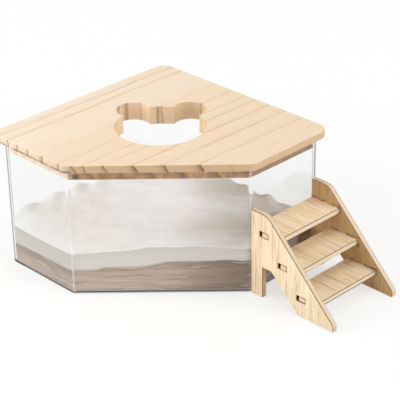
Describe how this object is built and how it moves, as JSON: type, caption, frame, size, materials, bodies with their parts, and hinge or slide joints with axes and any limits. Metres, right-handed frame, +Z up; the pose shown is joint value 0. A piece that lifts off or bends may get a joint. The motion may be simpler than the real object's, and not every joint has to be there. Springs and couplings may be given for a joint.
{
  "type": "hamster sand bath",
  "caption": "Clear corner-shaped sand tank with a rebated wooden lid, a head-shaped entry opening in the lid, layered bathing sand and a free-standing plywood stair beside it.",
  "frame": {"origin": "on the tank's underside, below the middle of the lid's square plan", "axes": "+Z up; +X out of the right short wall, along the run of the stair; the square back corner points to -X +Y and the cut front faces +X -Y"},
  "size_m": [0.3554, 0.25, 0.1526],
  "materials": {
    "clear_acrylic": "polished clear acrylic",
    "dark_sand": "loose grey-brown sand",
    "pale_sand": "loose pale sand",
    "pale_board": "sanded, unvarnished pale wood with wide growth rings",
    "plywood": "laser-cut plywood with browned edges"
  },
  "bodies": {
    "tank": {"tank_base": "clear_acrylic", "tank_wall": "clear_acrylic", "sand_lower_layer": "dark_sand", "sand_upper_layer": "pale_sand"},
    "lid": {"lid_board": "pale_board"},
    "stair": {"stringer_left": "plywood", "stringer_right": "plywood", "tread_bottom": "plywood", "tread_middle": "plywood", "tread_top": "plywood"}
  },
  "joints": [
    {"name": "lid_lift", "type": "slide", "parent": "tank", "child": "lid", "axis": [0, 0, 1], "range_m": [0, 0.12]},
    {"name": "stair_pull", "type": "slide", "parent": "tank", "child": "stair", "axis": [1, 0, 0], "range_m": [0, 0.12]}
  ]
}
